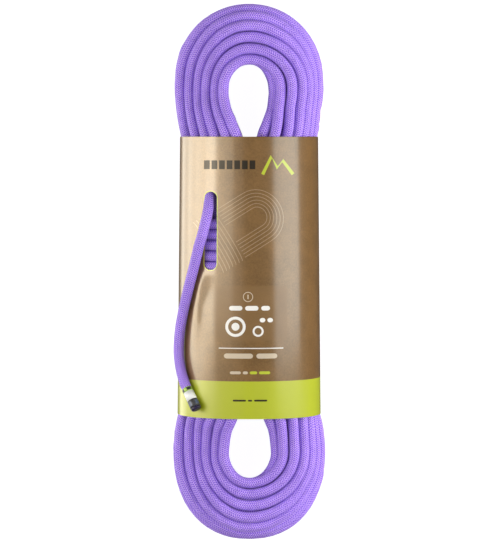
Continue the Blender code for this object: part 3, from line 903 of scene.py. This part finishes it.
def bars(x0, x1, y, height, shares, gap):
    """A row of bars that stands for a printed line, from x0 to x1."""
    total = x1 - x0 - gap * (len(shares) - 1)
    made = []
    for share in shares:
        width = total * share / sum(shares)
        made.append(stadium(x0 + width / 2, y, width, height, 5))
        x0 += width + gap
    return made


def turned_points(points, centre, degrees):
    angle = math.radians(degrees)
    cosine, sine = math.cos(angle), math.sin(angle)
    return [(centre[0] + x * cosine - y * sine, centre[1] + x * sine + y * cosine) for x, y in points]


def coil_drawing():
    """Pale line drawing of a rope hank, lying slantwise."""
    centre, slope, line_width = (-15.0, 38.0), 32.0, 0.55
    made = []
    for number in range(6):
        radius = 9.0 + 3.2 * number
        loop = []
        for step in range(19):
            angle = math.radians(-90 + 180 * step / 18)
            loop.append((27 + radius * math.cos(angle) * 0.92, radius * math.sin(angle)))
        loop = [(-2, -radius)] + loop + [(-2, radius)]
        made.append(stroke(turned_points(loop, centre, slope), line_width))
    for number in range(7):
        x = -6.0 - 3.4 * number
        angles = [math.radians(degrees) for degrees in range(-90, 91, 15)]
        wrap = [(x + 2.0 * math.cos(angle), 26.5 * math.sin(angle)) for angle in angles]
        made.append(stroke(turned_points(wrap, centre, slope), line_width))
    return made


def slot_outline(wider=0.0):
    return stadium(SLOT_X / MM, SLOT_Y / MM, SLOT_WIDTH / MM + wider, SLOT_LENGTH / MM + wider, 14)


def card_prints():
    """Every print as (finish, outlines), from the lowest layer to the highest; x, y in mm."""
    blocks = [box(-41.5 + 7.0 * n, 95.2, -36.2 + 7.0 * n, 103.2) for n in range(7)]
    two_peaks = stroke([(12.5, 90.5), (20.5, 106.5), (26.0, 96.5), (31.0, 103.0), (40.5, 90.5)], 3.0)
    white = [
        *bars(-18.0, 19.0, -30.6, 4.2, (3, 3, 2), 2.4),
        stroke([(-27.2, -67.0), (30.8, -67.0)], 0.8),
        *bars(9.6, 21.6, -41.4, 4.0, (1, 1), 1.8),
        disc(-12.2, -47.4, 9.2),
        disc(8.2, -51.5, 5.0, 20),
    ]
    return [
        ("faint", [box(-31.7, -60.2, 34.4, -10.3)]),
        ("drawing", coil_drawing()),
        ("lime_line", [slot_outline(SLOT_RIM_MM)]),
        ("brown", blocks + bars(-14.5, 16.3, -114.5, 1.7, (3, 1, 3), 1.6)),
        ("lime_line", [two_peaks] + bars(0.6, 19.0, -89.2, 2.6, (2, 3), 1.6)),
        ("white", white),
        ("faint", [disc(-12.2, -47.4, 6.6), disc(8.2, -51.5, 3.2, 20)]),
        ("white", [disc(-12.2, -47.4, 3.6, 20)]),
        ("pale", bars(-22.6, 25.4, -74.0, 4.6, (5, 3.6), 3.0) + [disc(-0.9, -20.3, 4.6, 22)]),
        ("faint", [disc(-0.9, -20.3, 3.9, 22)]),
        ("pale", [stadium(-0.9, -20.3, 1.1, 4.2, 4)]),
        ("pale", bars(-17.2, -1.0, -89.2, 2.6, (3, 1.4), 1.6)),
    ]


CARD_FINISHES = ["kraft", "lime", "faint", "drawing", "lime_line", "brown", "white", "pale", "inside"]
CARD_ROWS = 41
CARD_COLUMN = 0.0026


def card_layers(card):
    """(finish, outline on the flat blank) from the blank itself up to the slot, which has no finish."""
    low, high = SLEEVE_BOTTOM, SLEEVE_TOP
    layers = [("kraft", box(card.first, low, card.last, high))]
    layers.append(("lime", box(card.first, low, card.last, LIME_BAND_TOP)))
    for finish, outlines in card_prints() + [(None, [slot_outline()])]:
        for outline in outlines:
            flat = [(float(card.from_front(x * MM)), min(max(y * MM, low), high)) for x, y in outline]
            layers.append((finish, flat))
    return layers


def cut_blank(card):
    """Points of the flat blank, its triangles outside the slot, and each triangle's finish."""
    points, edges, faces = [], [], []
    layers = card_layers(card)
    for finish, outline in layers:
        area = sum(a[0] * b[1] - b[0] * a[1] for a, b in zip(outline, outline[1:] + outline[:1]))
        faces.append(list(range(len(points), len(points) + len(outline))))
        points += [Vector(point) for point in (outline[::-1] if area < 0 else outline)]
    rows = np.linspace(SLEEVE_BOTTOM, SLEEVE_TOP, CARD_ROWS)
    for around in np.arange(card.first + 0.0022, card.last - 0.001, CARD_COLUMN):
        edges += [(len(points) + step, len(points) + step + 1) for step in range(CARD_ROWS - 1)]
        points += [Vector((around, y)) for y in rows]
    made = delaunay_2d_cdt(points, edges, faces, 1, 1e-7)
    triangles, finishes = [], []
    for triangle, sources in zip(made[2], made[5]):
        finish = layers[max(sources)][0] if sources else None
        if finish:
            triangles.append(list(triangle))
            finishes.append(CARD_FINISHES.index(finish))
    return np.array([tuple(point) for point in made[0]]), np.array(triangles), finishes


def rim_edges(triangles):
    """Edges that only one triangle has, each in that triangle's direction."""
    rim = {}
    for triangle in triangles:
        for first, second in zip(triangle, np.roll(triangle, -1)):
            if not rim.pop((second, first), False):
                rim[(first, second)] = True
    return list(rim)


def card_mesh(card, surfaces):
    """The cut blank bent round the hank, with a printed outside, a plain inside and cut edges."""
    flat, triangles, finishes = cut_blank(card)
    outer = card.at(flat[:, 0], flat[:, 1])
    normals = card.normal(flat[:, 0], flat[:, 1])
    inner = outer - normals * CARD_THICKNESS
    corner, second, third = outer[triangles[0]]
    if np.cross(second - corner, third - corner).dot(normals[triangles[0, 0]]) < 0:
        triangles = triangles[:, ::-1]
    count = len(flat)
    quads = [(second, first, first + count, second + count) for first, second in rim_edges(triangles)]
    faces = triangles.tolist() + (triangles[:, ::-1] + count).tolist()
    faces += [[int(vertex) for vertex in quad] for quad in quads]
    mesh = bpy.data.meshes.new("card_sleeve")
    mesh.from_pydata(np.vstack([outer, inner]).tolist(), [], faces)
    for finish in CARD_FINISHES:
        mesh.materials.append(surfaces[finish])
    inside = CARD_FINISHES.index("inside")
    mesh.polygons.foreach_set("material_index", finishes + [inside] * (len(triangles) + len(quads)))
    mesh.polygons.foreach_set("use_smooth", [True] * (2 * len(triangles)) + [False] * len(quads))
    turned = np.vstack([normals, -normals])
    custom = []
    for polygon in mesh.polygons:
        for vertex in polygon.vertices:
            custom.append(tuple(polygon.normal) if len(polygon.vertices) == 4 else tuple(turned[vertex]))
    mesh.normals_split_custom_set(custom)
    return mesh


def build_card(surfaces):
    card = Card()
    piece = place_mesh("printed_card_sleeve", card_mesh(card, surfaces), None)
    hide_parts("card_sleeve")
    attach(piece, "sleeve")


# ---- The rest of the scene


def add_camera():
    data = bpy.data.cameras.new("photo_camera")
    data.sensor_fit = "VERTICAL"
    data.sensor_height = 24.0
    data.lens = data.sensor_height / (2 * math.tan(math.radians(10.8) / 2))
    data.clip_start, data.clip_end = 0.1, 20.0
    camera = bpy.data.objects.new("photo_camera", data)
    bpy.context.scene.collection.objects.link(camera)
    camera.location = (0.0027, 0.1246, 2.72)
    aim = Vector((0.0027, 0.0023, 0.120)) - camera.location
    back = -aim.normalized()
    right = Vector((0, 1, 0)).cross(back).normalized()
    camera.rotation_euler = Matrix((right, back.cross(right), back)).transposed().to_euler()
    bpy.context.scene.camera = camera


def add_light(name, location, target, width, height, power, gloss=None):
    """An area light that only reflections show, if it has a gloss colour, or that they never show."""
    data = bpy.data.lights.new(name, "AREA")
    data.shape = "RECTANGLE"
    data.size, data.size_y = width, height
    data.energy = power
    data.color = gloss or (1, 1, 1)
    light = bpy.data.objects.new(name, data)
    bpy.context.scene.collection.objects.link(light)
    light.location = location
    way = Vector(target) - Vector(location)
    light.rotation_euler = way.to_track_quat("-Z", "Y").to_euler()
    light.visible_diffuse = gloss is None
    light.visible_glossy = gloss is not None
    light.visible_camera = False


def add_floor():
    """A plain glowing floor just under the hank, which casts and mirrors nothing."""
    mesh = bpy.data.meshes.new("floor")
    mesh.from_pydata([(-3, -3, 0), (3, -3, 0), (3, 3, 0), (-3, 3, 0)], [], [(0, 1, 2, 3)])
    made = plain_surface("pale_floor", (0.2, 0.2, 0.2), 1.0)
    set_inputs(made.shader, {"Specular IOR Level": 0.0})
    set_inputs(made.shader, {"Emission Color": (1, 1, 1, 1), "Emission Strength": 0.95})
    floor = place_mesh("pale_floor", mesh, made.material)
    floor.location.z = -0.0015
    floor.visible_glossy = False
    floor.visible_shadow = False


def add_world():
    scene = bpy.context.scene
    world = bpy.data.worlds.new("studio")
    world.use_nodes = True
    set_inputs(world.node_tree.nodes["Background"], {"Color": (1, 1, 1, 1), "Strength": 0.06})
    scene.world = world
    scene.view_settings.view_transform = "Standard"
    scene.view_settings.look = "None"


def add_lights():
    """Upright warm strips at the left and a cool one at the right for the card's gloss; soft fill."""
    middle = (0, 0, 0.1)
    warm, cool = (1.0, 0.93, 0.78), (0.88, 0.97, 1.0)
    strip_length = 0.9
    for name, low, high, strength in (
        ("left_gloss", 0.30, 0.69, 27),
        ("left_side_gloss", -0.15, 0.30, 19),
        ("left_low_gloss", -1.50, -0.15, 9),
    ):
        place, target = (-0.95, 0.05, (low + high) / 2), (0.0, 0.05, (low + high) / 2)
        reach = high - low
        power = strength * reach * strip_length
        add_light(name, place, target, reach, strip_length, power, warm)
    for name, place, width, height, power, gloss in (
        ("left_high_gloss", (-0.68, 0.05, 0.80), 0.26, strip_length, 2.6, warm),
        ("left_front_gloss", (-0.50, 0.05, 0.92), 0.30, strip_length, 1.1, warm),
        ("right_gloss", (0.55, 0.05, 0.44), 0.34, 0.6, 2.7, cool),
        ("left_soft", (-1.2, 0.1, 0.8), 1.2, 1.2, 14, None),
        ("right_soft", (1.2, 0.1, 0.6), 1.2, 1.2, 23, None),
        ("top_soft", (0.0, -0.35, 1.8), 1.6, 1.6, 12, None),
    ):
        add_light(name, place, middle, width, height, power, gloss)


def repaint(name, surface):
    materials = bpy.data.objects[name].data.materials
    materials.clear()
    materials.append(surface)


def finish_hidden_parts(surfaces):
    """The core inside the free end and the glue keep their CAD shapes and take a finish."""
    for number in range(1, CORE_STRANDS + 1):
        repaint(f"core_strand_{number:02d}", surfaces["core_nylon"])
    repaint("core_identification_tape", surfaces["identification_tape"])
    repaint("sleeve_glue_strip", surfaces["dried_glue"])


def card_surfaces():
    """The varnished card and its prints, and the card's plain inside."""
    kraft = linear(115, 84, 46)
    pale_kraft = tuple(1.06 * channel for channel in kraft)
    made = {
        "kraft": speckled_surface("kraft_card", kraft, 0.36, 0.00002, 0.30, coat=1.0, scale=620.0),
        "inside": speckled_surface("card_inside", linear(165, 128, 86), 0.85, 0.00003, 0.14),
    }
    for finish, name, colour, roughness, depth, spread, coat in (
        ("lime", "lime_print", linear(170, 179, 20), 0.55, 0.00002, 0.03, 1.0),
        ("faint", "faint_print", pale_kraft, 0.55, 0.00002, 0.12, 1.0),
        ("drawing", "pale_drawing", linear(160, 134, 102), 0.55, 0.00002, 0.05, 1.0),
        ("lime_line", "lime_line_print", linear(176, 188, 34), 0.5, 0.00001, 0.02, 1.0),
        ("brown", "dark_print", linear(22, 17, 14), 0.6, 0.00001, 0.05, 0.35),
        ("white", "white_print", linear(232, 230, 224), 0.5, 0.00001, 0.02, 1.0),
        ("pale", "pale_print", linear(196, 180, 156), 0.5, 0.00001, 0.03, 1.0),
    ):
        made[finish] = speckled_surface(name, colour, roughness, depth, spread, coat)
    return made


def rope_end_surfaces():
    """Finishes of the markers, the melted ends, the core and the glue, by their names."""
    clear = plain_surface("clear_shrink_sleeve", (1, 1, 1), 0.3)
    set_inputs(clear.shader, {"Alpha": 0.05})
    core = speckled_surface("core_nylon", linear(238, 236, 230), 0.75, 0.0001, 0.05)
    made = {"clear_shrink_sleeve": clear.material, "core_nylon": core}
    for name, colour, roughness in (
        ("green_band", (166, 205, 50), 0.4),
        ("white_band", (235, 235, 230), 0.4),
        ("black_band", (14, 14, 18), 0.45),
        ("navy_marks", (40, 60, 95), 0.4),
        ("melted_nylon", (38, 30, 58), 0.3),
        ("identification_tape", (235, 228, 205), 0.4),
        ("dried_glue", (225, 214, 180), 0.3),
    ):
        made[name] = plain_surface(name, linear(*colour), roughness).material
    return made


def build():
    add_camera()
    surfaces = rope_end_surfaces()
    rope, rings, heading = build_rope()
    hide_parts("hank_body", "waist_wraps", "tail_lead", "tail_sheath", "inner_end_rope")
    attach(rope, "rope")
    tail_pieces = end_bands("tail_end", TAIL_TIP, heading, surfaces)
    end_bands("inner_end", INNER_ROUTE[0], (0.0, -1.0, 0.0), surfaces)
    build_card(card_surfaces())
    finish_hidden_parts(surfaces)
    add_floor()
    add_world()
    add_lights()


build()
